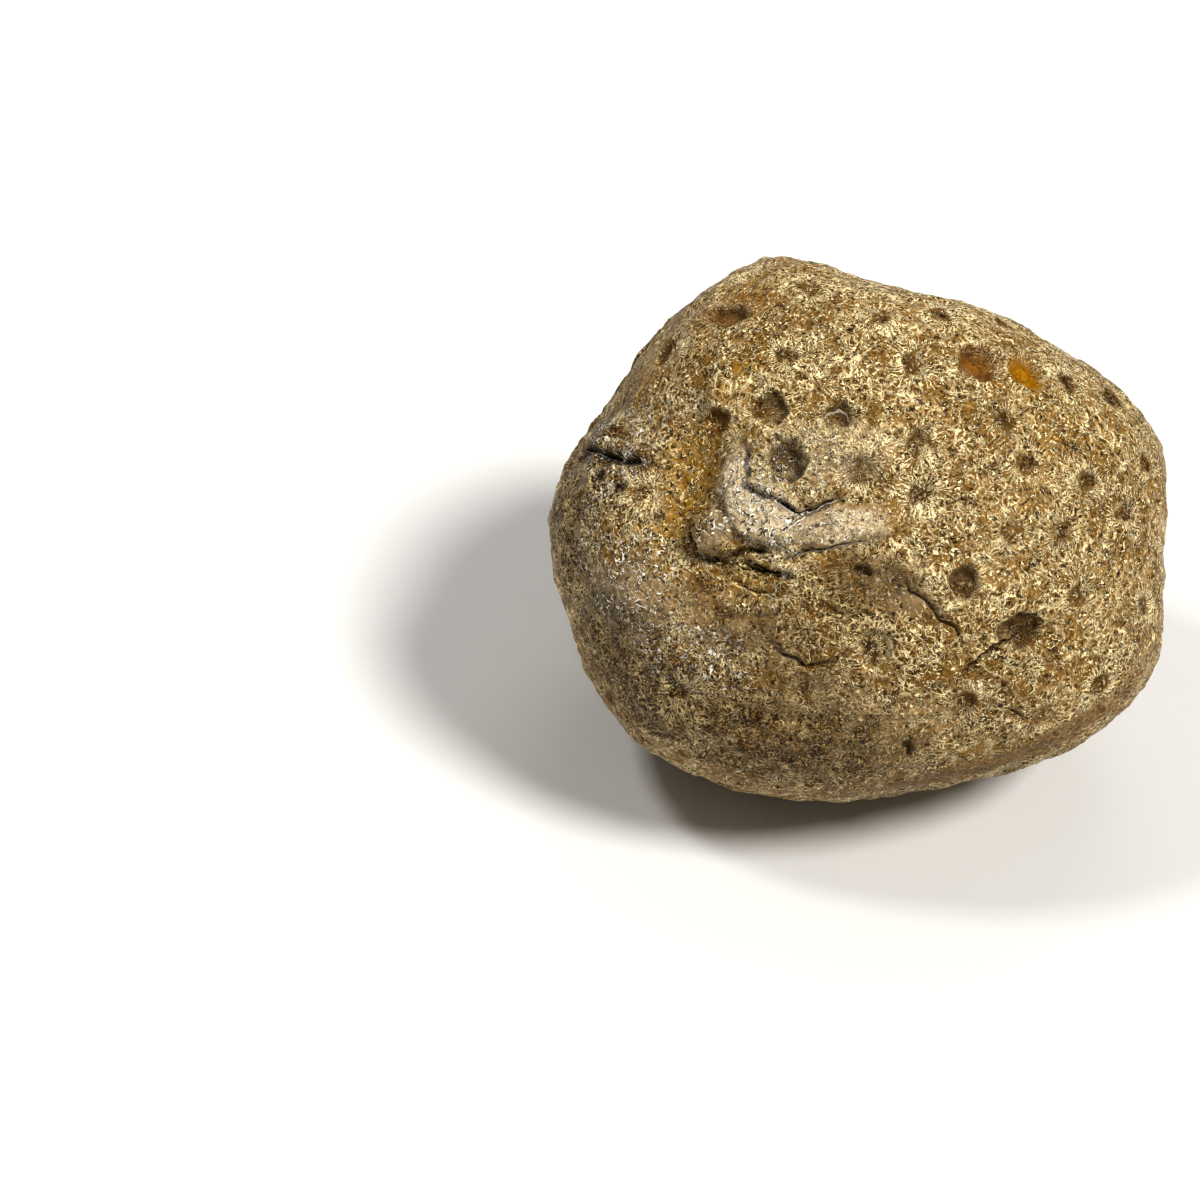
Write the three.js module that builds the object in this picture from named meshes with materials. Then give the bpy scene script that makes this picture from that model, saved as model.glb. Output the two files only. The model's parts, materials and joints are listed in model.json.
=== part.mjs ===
// A fossil coral head: one wave-rounded limestone cobble, cut by the sea from a colony of many-sided
// coral cups. It lies on a worn flat, leaning back, with its broad cupped face turned up and forward.
//
// Units are millimetres, +Z is up, and the broad face looks along -Y. The origin is the middle of the
// base of the stone's box. The stone is first shaped upright, with the broad face in the XZ plane, then
// leant back and worn flat underneath.
import * as THREE from "three";
import { mergeVertices } from "three/addons/utils/BufferGeometryUtils.js";

// Rim of the broad face: the radius from the middle of the stone at equal steps all round, starting at
// +X and turning towards the top.
const RIM_RADII = [59.5, 61, 53.5, 49.5, 48.5, 57, 56.5, 56, 62, 60.5, 61.5, 57.5, 53.5, 53, 58.5, 64];
const MEAN_RIM = RIM_RADII.reduce((sum, radius) => sum + radius) / RIM_RADII.length;

const FRONT_BULGE = 48; // depth of the stone in front of the rim
const BACK_BULGE = 50; // depth behind the rim
const SQUARENESS = 2.25; // 2 is an ellipsoid, and more fills out the shoulders
const LEAN_DEG = 40; // how far the broad face leans back from upright
const UNDERSIDE_WEAR = 3; // how much the stone has lost where it rests
const DETAIL = 15; // subdivisions of each face of the first icosahedron

// Swells and hollows of the broad face: the place on the face, the radius of the patch, and its height.
const FRONT_RELIEF = [
  { x: -34, z: 8, radius: 16, height: -3.5 }, // the worn basin on the left
  { x: -48, z: -10, radius: 18, height: 2.5 }, // the hump between the basin and the left end
  { x: -20, z: 1, radius: 11, height: 2 }, // the pale nodule beside the basin
  { x: -8, z: -28, radius: 16, height: -1.5 }, // the dip low on the face
  { x: 34, z: -20, radius: 22, height: 1.5 }, // the swell at the lower right
  { x: 10, z: 30, radius: 20, height: -1 }, // the flat towards the top
];

// Swells and hollows of the back.
const BACK_RELIEF = [
  { x: 25, z: 15, radius: 30, height: -4 }, // a broad worn facet
  { x: -30, z: -8, radius: 26, height: -3 }, // a smaller facet beside it
  { x: -14, z: 30, radius: 20, height: 2.5 }, // the shoulder between them
];

// The rim's radius at a bearing in radians, as a closed Catmull-Rom spline through the rim radii.
function rimRadius(bearing) {
  const steps = RIM_RADII.length;
  const place = ((bearing / (2 * Math.PI)) * steps + steps) % steps;
  const step = Math.floor(place);
  const t = place - step;
  const [before, start, end, after] = [-1, 0, 1, 2].map((k) => RIM_RADII[(step + k + steps) % steps]);
  const slopeStart = (end - before) / 2;
  const slopeEnd = (after - start) / 2;
  return (
    start * (2 * t ** 3 - 3 * t ** 2 + 1) +
    slopeStart * (t ** 3 - 2 * t ** 2 + t) +
    end * (3 * t ** 2 - 2 * t ** 3) +
    slopeEnd * (t ** 3 - t ** 2)
  );
}

// The plain cobble, with no swells: how far its surface is from the middle in a direction. The outline of
// the rim fades to a round one towards the middles of the front and the back.
function bodyRadius(direction) {
  const bulge = direction.y < 0 ? FRONT_BULGE : BACK_BULGE;
  const outward = Math.hypot(direction.x, direction.z);
  const outline = rimRadius(Math.atan2(direction.z, direction.x)) - MEAN_RIM;
  const across = outward / (MEAN_RIM + outline * outward ** 3);
  const through = Math.abs(direction.y) / bulge;
  return (across ** SQUARENESS + through ** SQUARENESS) ** (-1 / SQUARENESS);
}

// The height that a list of swells and hollows adds at a place on the face.
function reliefAt(relief, x, z) {
  return relief.reduce(
    (sum, { x: cx, z: cz, radius, height }) =>
      sum + height * Math.exp(-((x - cx) ** 2 + (z - cz) ** 2) / radius ** 2),
    0
  );
}

// Moves a point of the unit sphere out to the stone's surface. Relief fades out towards the rim.
function wearPoint(point) {
  const direction = point.clone().normalize();
  const surface = direction.clone().multiplyScalar(bodyRadius(direction));
  const relief = direction.y < 0 ? FRONT_RELIEF : BACK_RELIEF;
  const facing = THREE.MathUtils.smoothstep(Math.abs(direction.y), 0, 0.6);
  const height = facing * reliefAt(relief, surface.x, surface.z);
  return surface.addScaledVector(direction, height);
}

// The cobble as one closed geometry, resting on Z = 0 with the middle of its base at the origin.
function cobbleGeometry() {
  const sphere = new THREE.IcosahedronGeometry(1, DETAIL);
  sphere.deleteAttribute("normal");
  sphere.deleteAttribute("uv");
  const stone = mergeVertices(sphere);
  const places = stone.getAttribute("position");
  const point = new THREE.Vector3();
  for (let i = 0; i < places.count; i++) {
    point.copy(wearPoint(point.fromBufferAttribute(places, i)));
    places.setXYZ(i, point.x, point.y, point.z);
  }
  stone.rotateX(THREE.MathUtils.degToRad(-LEAN_DEG));
  stone.computeBoundingBox();
  const floor = stone.boundingBox.min.z + UNDERSIDE_WEAR;
  for (let i = 0; i < places.count; i++) places.setZ(i, Math.max(places.getZ(i), floor));
  const middle = stone.boundingBox.getCenter(new THREE.Vector3());
  stone.translate(-middle.x, -middle.y, -floor);
  stone.computeVertexNormals();
  return stone;
}

const limestone = new THREE.MeshStandardMaterial({ color: 0xac9061, roughness: 0.45, metalness: 0 });

const coralHead = new THREE.Mesh(cobbleGeometry(), limestone);
coralHead.name = "coral_head";

const fossil = new THREE.Group();
fossil.add(coralHead);

export default fossil;
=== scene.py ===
# A fossil coral head: a wet, sea-worn limestone cobble cut from a colony of many-sided coral cups. It lies
# on a pale floor in soft studio light.
import json
import math
from functools import partial

import bpy
import numpy as np
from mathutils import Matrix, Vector
from mathutils.bvhtree import BVHTree

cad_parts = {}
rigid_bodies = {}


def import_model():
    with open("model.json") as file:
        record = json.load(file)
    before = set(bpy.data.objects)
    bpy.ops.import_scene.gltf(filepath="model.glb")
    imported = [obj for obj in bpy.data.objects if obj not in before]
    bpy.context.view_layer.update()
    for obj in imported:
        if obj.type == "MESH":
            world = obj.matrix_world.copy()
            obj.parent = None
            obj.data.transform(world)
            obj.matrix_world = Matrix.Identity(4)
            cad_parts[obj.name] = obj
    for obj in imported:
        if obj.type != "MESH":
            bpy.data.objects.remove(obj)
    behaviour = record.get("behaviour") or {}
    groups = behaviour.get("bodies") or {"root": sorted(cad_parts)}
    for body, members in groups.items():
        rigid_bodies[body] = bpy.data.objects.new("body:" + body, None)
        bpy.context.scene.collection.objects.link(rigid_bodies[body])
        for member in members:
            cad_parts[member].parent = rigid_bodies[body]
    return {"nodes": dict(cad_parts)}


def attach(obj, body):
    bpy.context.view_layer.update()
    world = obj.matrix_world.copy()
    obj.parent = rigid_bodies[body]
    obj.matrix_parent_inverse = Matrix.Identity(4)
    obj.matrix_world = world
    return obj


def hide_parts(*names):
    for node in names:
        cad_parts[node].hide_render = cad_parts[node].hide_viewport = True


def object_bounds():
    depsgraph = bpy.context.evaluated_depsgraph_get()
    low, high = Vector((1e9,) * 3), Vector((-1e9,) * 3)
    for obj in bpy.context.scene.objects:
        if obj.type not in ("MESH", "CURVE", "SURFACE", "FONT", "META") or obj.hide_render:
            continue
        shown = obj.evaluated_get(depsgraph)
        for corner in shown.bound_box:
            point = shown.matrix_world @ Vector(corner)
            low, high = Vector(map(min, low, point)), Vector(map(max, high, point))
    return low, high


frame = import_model()
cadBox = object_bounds()

mm = 0.001
stoneMiddle = (cadBox[0] + cadBox[1]) / 2
print("frame loaded, the stone's box in mm:", [round(side / mm, 1) for side in cadBox[1] - cadBox[0]])


# camera

camera = {
    "lens": 85,  # mm
    "distance": 0.567,  # from the middle of the stone
    "elevation": 40,  # degrees above the horizon
    "aimLeft": 0.0503,  # how far beside and below the stone it aims, so the stone sits right of the middle
    "aimBelow": 0.019,
}


def addCamera():
    tilt = math.radians(camera["elevation"])
    towardsCamera = Vector((0, -math.cos(tilt), math.sin(tilt)))
    upward = Vector((0, math.sin(tilt), math.cos(tilt)))
    place = stoneMiddle + towardsCamera * camera["distance"]
    aim = stoneMiddle - Vector((1, 0, 0)) * camera["aimLeft"] - upward * camera["aimBelow"]
    turn = (aim - place).to_track_quat("-Z", "Y").to_euler()
    bpy.ops.object.camera_add(location=place, rotation=turn)
    made = bpy.context.object
    made.name = "mainCamera"
    made.data.lens = camera["lens"]
    made.data.clip_start = 0.01
    made.data.clip_end = 50
    bpy.context.scene.camera = made
    bpy.context.view_layer.update()
    return made


mainCamera = addCamera()
eyePoint = np.array(mainCamera.matrix_world.translation)
eyeTurn = np.array(mainCamera.matrix_world.to_3x3())
faceAcross, faceUp, faceOut = eyeTurn[:, 0], eyeTurn[:, 1], eyeTurn[:, 2]
print("camera set")


# the coral colony and its weathering, in millimetres

colony = {
    "reach": 300.0,  # from the colony's growth point to the middle of the stone
    "lean": (0.30, 0.16),  # how far the corallites lean to the right and up from the camera's side
    "spacing": 12.3,  # between the middles of neighbouring cups
    "wander": 1.1,  # how far the walls bend
    "edge": 82.0,  # how far from the middle corallites are planted
    "closest": 0.82,  # of the spacing, between two cups as they are planted
    "tries": 4000,
    "cloud": 16000,  # points that spread the cups evenly
    "rounds": 4,
    "seed": 7,
}

# Places on the broad face are millimetres to the right of and above the stone's middle, as the camera sees
# them. Each cup: across, up, half width, half height, turn in degrees, depth.
cups = [
    (24.1, 32.4, 3.5, 4.0, 0, 2.4),
    (33.7, 30.6, 3.2, 3.9, 30, 1.3),
    (42.4, 28.6, 1.5, 2.5, 30, 1.3),
    (50.8, 25.6, 1.6, 1.8, 0, 1.3),
    (29.0, 20.8, 1.4, 3.8, 28, 1.3),
    (22.0, 21.2, 1.9, 1.9, 0, 0.5),
    (11.8, 32.2, 3.0, 2.6, 0, 0.7),
    (17.2, 42.0, 2.6, 2.0, -20, 1.2),
    (12.2, 16.8, 2.6, 3.3, 15, 1.0),
    (-17.6, 23.2, 3.2, 3.1, 0, 1.7),
    (-4.0, 21.6, 3.3, 3.0, 0, 2.0),
    (-14.8, 12.6, 3.8, 3.8, 0, 3.2),
    (0.0, 10.6, 3.8, 3.6, 0, 1.2),
    (-14.0, 34.0, 1.9, 2.0, 0, 0.7),
    (-27.0, 42.0, 4.6, 2.8, -20, 1.5),
    (-38.8, 34.4, 1.6, 3.0, -35, 1.4),
    (-28.2, 20.8, 2.6, 2.2, 0, 1.8),
    (21.2, -11.4, 3.0, 3.0, 0, 1.7),
    (32.6, -21.4, 4.3, 3.5, 20, 1.9),
    (24.0, -23.2, 1.5, 1.5, 0, 0.7),
    (33.8, 11.8, 2.5, 2.3, 0, 0.5),
    (45.6, 8.2, 2.5, 2.4, 0, 0.5),
    (13.0, 6.6, 2.2, 1.9, 0, 0.6),
    (20.4, -36.2, 3.0, 2.8, 0, 0.9),
    (48.2, -32.2, 2.2, 2.2, 0, 1.0),
    (0.8, -9.4, 1.6, 1.2, 0, 1.2),
    (38.6, -26.0, 1.3, 1.1, 0, 0.9),
    (58.6, 8.6, 1.6, 1.6, 0, 1.2),
    (9.8, -45.2, 1.1, 2.8, 0, 1.4),
    (53.0, 2.6, 2.0, 2.0, 0, 0.5),
    (30.8, -1.4, 2.4, 2.4, 0, 0.5),
    (41.0, -1.6, 2.2, 2.2, 0, 0.5),
    (21.2, 4.2, 1.8, 1.4, 0, 0.9),
    (-52.0, 9.4, 1.8, 1.3, 20, 1.5),
    (-48.2, 7.6, 2.2, 1.1, -15, 1.3),
]
# which of the cups are the middles of whole corallites
corallites = [*range(5), *range(6, 19), *range(20, 26), *range(29, 32)]
moreCorallites = [(4.0, 41.5), (-9, -33), (3, -25), (36, -38), (44, -14), (-36, -34), (-24, -24)]

# Each crack: its points, half width, depth (below 0 is a ridge), the height of the step on the left of its
# way, and how strongly its wet edge glints, as a painted highlight
cracks = [
    ([(-22.6, 15), (-22, 10.5), (-21.6, 7.4), (-20.3, 6.1), (-16.4, 4.8)], 0.5, 1.3, 1.3, 0.5),
    ([(-16.4, 4.8), (-12.8, 2.6), (-10.2, 2.4), (-7.6, 3.9), (-4.4, 5)], 0.55, 2.0, 1.3, 1.0),
    ([(-14.4, -1.2), (-12.6, 0.2), (-10.6, 1.6)], 0.35, 0.9, 0.6, 1.0),
    ([(-33.5, -0.8), (-33.2, -3.6), (-31.4, -6.0), (-28.2, -7.2)], 0.8, 2.2, 0.6, 1.0),
    ([(-28, -6.2), (-25.2, -5.6), (-20, -5), (-15.4, -3.2)], 0.8, 0.9, 0.9, 0.0),
    ([(-21.6, -7.6), (-18.4, -9.4), (-14.8, -10.8)], 0.8, 2.2, 0.6, 1.0),
    ([(-25.4, -11.4), (-21.6, -13.6), (-17, -14.6)], 0.4, 0.7, 0.3, 0.6),
    ([(-54.6, 15.6), (-50, 14.2), (-46, 13.0), (-42.5, 12.4)], 0.8, 1.9, 1.1, 0.4),
    ([(-15, -8.6), (-14.2, -6.2), (-8.4, -5), (-3.6, -4), (2.4, -3)], 0.3, 0.9, 0.9, 0.4),
    (
        [(9.2, -10.4), (10.4, -13.6), (13.4, -15.4), (16.4, -18.8), (19.2, -20.4), (20.4, -23.6)], 0.3, 0.8,
        0.5, 0.0,
    ),
    ([(20, -29.6), (23, -27.6), (27, -24.8), (31, -23.2)], 0.35, 1.2, -0.3, 0.0),
    ([(-16, -24.5), (-13.8, -26.2), (-10.6, -28.2), (-6, -27.4), (-2.4, -25.6)], 0.4, 0.9, 0.7, 0.0),
    ([(-59, 8), (-56, 16), (-50, 25), (-43, 34), (-36, 42.5), (-29, 50), (-23, 53.5)], 0.6, 0.8, 0.5, 0.2),
    ([(30, -37), (33, -38.4), (35.5, -37.6)], 0.3, 0.9, 0.3, 0.0),
    ([(-61, 2), (-60.4, -4), (-58.6, -12)], 0.5, 0.9, 0.5, 0.0),
    ([(-7.4, 19.6), (-6.0, 22.2), (-4, 23.4), (-2.2, 22.8), (-1.6, 21.0)], 0.7, -0.9, 0.0, 0.25),
]

# Swells that the sea left proud, and hollows: across, up, half width, half height, turn, height, and the
# sharpness of the edge
swells = [
    (-19.0, 2.6, 9.0, 5.2, -32, 2.2, 0.6),
    (-24.4, 9.6, 4.0, 5.4, -8, 1.2, 0.4),
    (-28.2, -1.6, 4.4, 4.6, 0, 2.0, 0.6),
    (-4.0, -0.4, 9.0, 3.2, 8, 1.0, 0.6),
    (-50.0, 18.0, 5.0, 3.0, 35, 1.3, 0.5),
    (-47.0, -11.0, 10.0, 10.0, 0, 1.0, 0.0),
    (-28.0, 27.0, 2.6, 8.0, -22, 0.9, 0.1),
    (4.0, 41.2, 3.2, 2.8, 0, 0.5, 0.4),
    (14.0, -29.0, 8.0, 6.0, 0, 0.8, 0.2),
    (-34.0, 10.0, 8.0, 13.0, -20, -2.4, 0.0),
    (-24.0, -11.0, 8.0, 5.0, -20, -1.4, 0.3),
    (-7.0, 15.0, 15.0, 10.0, 0, 0.9, 0.3),
    (0.0, -15.0, 14.0, 7.0, -10, -1.4, 0.3),
    (-10.0, -36.0, 10.0, 6.0, 10, -0.9, 0.2),
    (20.0, -11.0, 9.0, 8.0, 0, 0.5, 0.2),
]

# Patches of polish, colour, painted shade and wet: across, up, half width, half height, turn, strength
patches = {
    "polish": [
        (-19.0, 2.6, 9.5, 5.4, -32, 1.0),
        (-24.4, 10.0, 3.4, 5.4, -8, 1.0),
        (-28.0, -1.6, 4.8, 5.0, 0, 1.0),
        (-4.0, -0.4, 9.5, 3.8, 8, 1.0),
        (-45.0, -14.0, 10.0, 11.0, 0, 0.9),
        (-34.0, 8.0, 7.0, 14.0, -20, 0.9),
        (-26.0, -18.0, 13.0, 8.0, -15, 0.8),
        (-50.5, 18.5, 5.0, 3.2, 35, 0.8),
        (-8.0, -42.0, 22.0, 10.0, 0, 0.6),
        (30.0, -47.0, 30.0, 5.0, 14, 1.0),
        (-33.0, 50.0, 22.0, 4.0, 50, 0.8),
        (4.0, -12.0, 11.0, 6.0, -20, 0.8),
        (-14.0, -30.0, 8.0, 6.0, 0, 0.6),
        (-44.0, 30.0, 6.0, 10.0, -30, 0.6),
    ],
    "gold": [
        (-34.0, 8.0, 8.0, 14.0, -12, 1.0),
        (-26.0, 24.0, 7.0, 14.0, -25, 0.8),
        (-23.0, -9.5, 8.0, 6.0, -30, 1.0),
        (-45.0, 3.0, 9.0, 6.0, 0, 0.8),
        (34.0, 24.0, 22.0, 12.0, 0, 0.35),
        (-47.5, -23.0, 4.0, 3.5, 0, 0.9),
        (58.6, 8.6, 4.0, 5.0, 0, 0.8),
        (-31.0, -14.0, 8.0, 6.0, 0, 0.7),
        (8.0, -34.0, 3.0, 4.0, 0, 0.6),
    ],
    "grey": [
        (-19.0, 2.6, 9.5, 5.4, -32, 1.0),
        (-24.4, 9.6, 4.2, 5.8, -8, 1.0),
        (-28.0, -1.0, 4.4, 4.6, 0, 0.4),
        (-45.0, -16.0, 9.0, 8.0, 0, 0.4),
        (-50.5, 18.5, 5.5, 3.6, 35, 0.8),
        (-4.0, -0.4, 9.5, 3.6, 8, 0.9),
        (-6.0, 14.0, 12.0, 6.0, 0, 0.35),
        (-26.0, -20.0, 15.0, 7.0, -15, 0.25),
        (8.0, -12.0, 8.0, 6.0, -20, 0.3),
        (-26.0, 52.0, 12.0, 5.0, 40, 0.4),
        (0.0, -40.0, 20.0, 9.0, 0, 0.2),
    ],
    # painted shade: the left edge, the lower sides and the lower left of the dome, darkened where they turn
    # from the light
    "shade": [
        (-44.0, -30.0, 22.0, 14.0, -30, 1.0),
        (-16.0, -44.0, 28.0, 12.0, 0, 0.9),
        (-58.0, -2.0, 11.0, 28.0, 0, 1.0),
        (-52.0, 28.0, 5.0, 10.0, -35, 0.6),
        (30.0, -47.0, 30.0, 5.0, 14, 0.3),
        (-27.0, 42.0, 6.0, 4.0, -20, 0.6),
        (-6.0, -16.0, 13.0, 7.0, 10, 0.7),
        (-34.0, -32.0, 20.0, 8.0, -15, 0.7),
        (4.0, -10.0, 8.0, 5.0, -20, 0.5),
        (-42.0, 12.0, 5.0, 3.0, 0, 0.6),
        (-28.0, -15.0, 7.0, 4.0, 0, 0.4),
        (-48.0, 32.0, 7.0, 10.0, -30, 0.5),
        (-20.0, -26.0, 16.0, 8.0, 0, 0.4),
        (-28.6, -2.2, 3.6, 3.6, 0, 0.35),
    ],
    "amber": [
        (33.7, 30.6, 3.4, 4.1, 30, 1.0),
        (58.6, 8.6, 1.4, 1.4, 0, 0.8),
    ],
    "rust": [
        (24.1, 32.6, 4.0, 4.2, 0, 1.0),
        (17.2, 42.0, 2.0, 1.6, -20, 0.7),
        (-28.2, 20.8, 2.4, 2.4, 0, 0.4),
        (-24.0, 44.0, 9.0, 4.0, -20, 0.4),
    ],
    "wet": [
        (-22.0, 2.0, 14.0, 8.0, -38, 1.0),
        (-46.0, 0.0, 14.0, 20.0, 0, 1.0),
        (-34.0, 8.0, 12.0, 18.0, -20, 0.9),
        (-22.0, -10.0, 9.0, 7.0, -30, 1.0),
        (-12.0, 12.0, 14.0, 8.0, 0, 0.5),
        (-48.0, 16.0, 10.0, 8.0, 30, 0.8),
        (-36.0, -24.0, 18.0, 10.0, -20, 0.7),
        (-5.0, 0.0, 9.0, 4.0, 8, 0.6),
        (-24.4, 9.6, 5.0, 7.0, -8, 1.0),
        (-16.2, 11.2, 3.2, 3.0, 0, 1.0),
    ],
}

rng = np.random.default_rng(colony["seed"])
farAway = 99.0  # mm, for a point that a feature doesn't reach
tableSize = 4096  # a power of two
noiseTable = np.random.default_rng(11).random(tableSize).astype(np.float32) * 2 - 1
cellPrimes = (73856093, 19349663, 83492791)  # spread the cells over the table


def smoothStep(low, high, value):
    t = np.clip((value - low) / (high - low), 0, 1)
    return t * t * (3 - 2 * t)


def lump(points, size, shift=0.0):
    # smooth noise from -1 to 1 whose lumps are about size apart
    at = points / size + shift
    cell = np.floor(at).astype(np.int64)
    part = at - cell
    part = part * part * (3 - 2 * part)
    total = np.zeros(len(points), np.float32)
    for corner in range(8):
        step = np.array([corner & 1, corner >> 1 & 1, corner >> 2 & 1])
        mixed = (cell + step) * cellPrimes
        pick = (mixed[:, 0] ^ mixed[:, 1] ^ mixed[:, 2]) & (tableSize - 1)
        weight = np.prod(np.where(step, part, 1 - part), axis=1)
        total += noiseTable[pick] * weight
    return total


def roughNoise(points, size, octaves=3):
    return sum(lump(points, size / 2**k, 17.3 * k) / 2**k for k in range(octaves))


cadTree = BVHTree.FromObject(frame["nodes"]["coral_head"], bpy.context.evaluated_depsgraph_get())


def onFace(across, up):
    # the point of the stone that the camera sees at a place on the face, and its normal, in millimetres
    target = np.array(stoneMiddle) + (faceAcross * across + faceUp * up) * mm
    way = Vector(target - eyePoint).normalized()
    hit, normal, _, _ = cadTree.ray_cast(Vector(eyePoint), way)
    if hit is None:
        hit, normal, _, _ = cadTree.find_nearest(Vector(target))
    return np.array(hit) / mm, np.array(normal)


def placeAll(ovals):
    # the same ovals with their places on the face found
    return [(onFace(*oval[:2]), *oval[2:]) for oval in ovals]


def ovalPlace(ground, oval, ragged=0.0):
    # where each point lies in an oval on the stone: two coordinates and the reach, which is 1 on its edge
    (middle, normal), halfWidth, halfHeight, turn = oval[:4]
    side = faceAcross - normal * (faceAcross @ normal)
    side /= np.linalg.norm(side)
    over = np.cross(normal, side)
    cosine, sine = math.cos(math.radians(turn)), math.sin(math.radians(turn))
    side, over = side * cosine + over * sine, over * cosine - side * sine
    away = ground["points"] - middle
    near = (away**2).sum(axis=1) < (2.2 * max(halfWidth, halfHeight)) ** 2
    away = away[near]
    place = np.full((3, len(near)), farAway)
    place[0, near] = away @ side / halfWidth
    place[1, near] = away @ over / halfHeight
    place[2, near] = np.hypot(place[0, near], place[1, near]) * (1 + ragged * ground["ragged"][near])
    return place


def ovalReach(ground, oval, ragged=0.0):
    return ovalPlace(ground, oval, ragged)[2]


# the growth axis of the corallites, from the camera's side of the stone
axis = faceOut + faceAcross * colony["lean"][0] + faceUp * colony["lean"][1]
axis /= np.linalg.norm(axis)
planeAcross = faceAcross - axis * (faceAcross @ axis)
planeAcross /= np.linalg.norm(planeAcross)
planeUp = np.cross(axis, planeAcross)
growthPoint = np.array(stoneMiddle) / mm - axis * colony["reach"]


def onPlane(points):
    # where each point lies across the bundle of corallites
    away = points - growthPoint
    along = away @ axis
    return np.stack([away @ planeAcross, away @ planeUp], axis=1) / along[:, None] * colony["reach"]


def nearest(places, seeds, count):
    # which seeds are nearest to each place, the nearest first
    picks = np.empty((len(places), count), np.int64)
    blockSize = 20000
    for start in range(0, len(places), blockSize):
        part = slice(start, start + blockSize)
        square = (places[part] ** 2).sum(axis=1)[:, None] + (seeds**2).sum(axis=1)
        gaps = np.maximum(square - 2 * places[part] @ seeds.T, 0)
        order = np.argpartition(gaps, count, axis=1)[:, :count]
        turn = np.argsort(np.take_along_axis(gaps, order, axis=1), axis=1)
        picks[part] = np.take_along_axis(order, turn, axis=1)
    return picks


def plantSeeds():
    # the known cups keep their places, and the rest fill the gaps and spread evenly
    spots = [cups[k][:2] for k in corallites] + moreCorallites
    known = onPlane(np.array([onFace(*spot)[0] for spot in spots]))
    edge = colony["edge"]
    seeds = list(known)
    for place in rng.uniform(-edge, edge, (colony["tries"], 2)):
        if np.hypot(*(np.array(seeds) - place).T).min() > colony["spacing"] * colony["closest"]:
            seeds.append(place)
    seeds = np.array(seeds)
    cloud = rng.uniform(-edge, edge, (colony["cloud"], 2))
    for _ in range(colony["rounds"]):
        owner = nearest(cloud, seeds, 1)[:, 0]
        for k in range(len(known), len(seeds)):
            if (owner == k).any():
                seeds[k] += (cloud[owner == k].mean(axis=0) - seeds[k]) * 0.7
    return seeds


cupSeeds = plantSeeds()
cupLuck = rng.random(len(cupSeeds))
print("corallites in the colony:", len(cupSeeds))


def readCups(points):
    # for each point: its corallite, its place in it, and how far the wall is
    places = onPlane(points)
    bend = np.stack([lump(points, 5.0, 3.1), lump(points, 5.0, 8.7)], axis=1) * colony["wander"]
    zigzag = np.stack([lump(points, 1.0, 1.7), lump(points, 1.0, 4.9)], axis=1) * 0.28
    places = places + bend + zigzag
    picks = nearest(places, cupSeeds, 3)
    own = cupSeeds[picks[:, 0]]
    away = places - own
    wall = np.full(len(points), farAway)
    for k in (1, 2):
        other = cupSeeds[picks[:, k]]
        apart = other - own
        length = np.linalg.norm(apart, axis=1)
        gap = length / 2 - (away * apart).sum(axis=1) / length
        wall = np.minimum(wall, gap)
    return picks[:, 0], away, wall


# the far sides have the same kinds of feature, scattered
farSide = {
    "clearance": 6,  # mm above the floor
    "pitShare": 0.45,  # of the corallites that come out at the back, how many have a deep cup
    "pitSize": (1.2, 3.0),
    "pitDepth": (0.8, 2.2),
    "swells": 16,
    "swellSize": (3, 12),
    "swellHeight": (-1.5, 1.3),
    "cracks": 7,
    "crackPoints": 5,
    "crackStep": 4.5,  # between them
    "patches": {"polish": 6, "gold": 7, "grey": 6, "shade": 10, "rust": 6, "wet": 3},
    "patchSize": (3, 13),
}


def onFarSide():
    # a place on the stone that is turned away from the camera and clear of the floor
    while True:
        way = Vector(rng.normal(size=3)).normalized()
        hit, normal, _, _ = cadTree.ray_cast(stoneMiddle + way, -way)
        if np.array(normal) @ faceOut < -0.05 and hit.z > farSide["clearance"] * mm:
            return np.array(hit) / mm, np.array(normal)


def farOval(size, *rest):
    width = rng.uniform(*size)
    return (onFarSide(), width, width * rng.uniform(0.5, 1.2), rng.uniform(-90, 90), *rest)


def farPits():
    pits = []
    for seed in cupSeeds:
        way = Vector(axis * colony["reach"] + planeAcross * seed[0] + planeUp * seed[1]).normalized()
        hit, normal, _, _ = cadTree.ray_cast(Vector(growthPoint * mm), way)
        if hit is not None and hit.z > farSide["clearance"] * mm and rng.random() < farSide["pitShare"]:
            width = rng.uniform(*farSide["pitSize"])
            spot = np.array(hit) / mm, np.array(normal)
            pits.append((spot, width, width * rng.uniform(0.7, 1.3), 0, rng.uniform(*farSide["pitDepth"])))
    return pits


def farCrack():
    spot, normal = onFarSide()
    heading = np.cross(normal, rng.normal(size=3))
    line = [(spot, normal)]
    for _ in range(farSide["crackPoints"] - 1):
        heading = heading / np.linalg.norm(heading) + rng.normal(size=3) * 0.35
        heading -= normal * (heading @ normal)
        ahead = line[-1][0] + heading / np.linalg.norm(heading) * farSide["crackStep"]
        hit, turned, _, _ = cadTree.find_nearest(Vector(ahead * mm))
        normal = np.array(turned)
        line.append((np.array(hit) / mm, normal))
    return line, rng.uniform(0.3, 0.7), rng.uniform(0.7, 1.8), rng.uniform(0.2, 1.2), rng.uniform(0, 0.4)


placedCups = placeAll(cups) + farPits()
placedSwells = placeAll(swells)
for _ in range(farSide["swells"]):
    placedSwells.append(farOval(farSide["swellSize"], rng.uniform(*farSide["swellHeight"]), 0.2))
placedCracks = [([onFace(*spot) for spot in crack[0]], *crack[1:]) for crack in cracks]
placedCracks += [farCrack() for _ in range(farSide["cracks"])]
placedPatches = {kind: placeAll(ovals) for kind, ovals in patches.items()}
for kind, count in farSide["patches"].items():
    placedPatches[kind] += [farOval(farSide["patchSize"], rng.uniform(0.5, 0.9)) for _ in range(count)]
counts = len(placedCups), len(placedSwells), len(placedCracks)
print("features placed: %d cups, %d swells, %d cracks" % counts)


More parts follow.
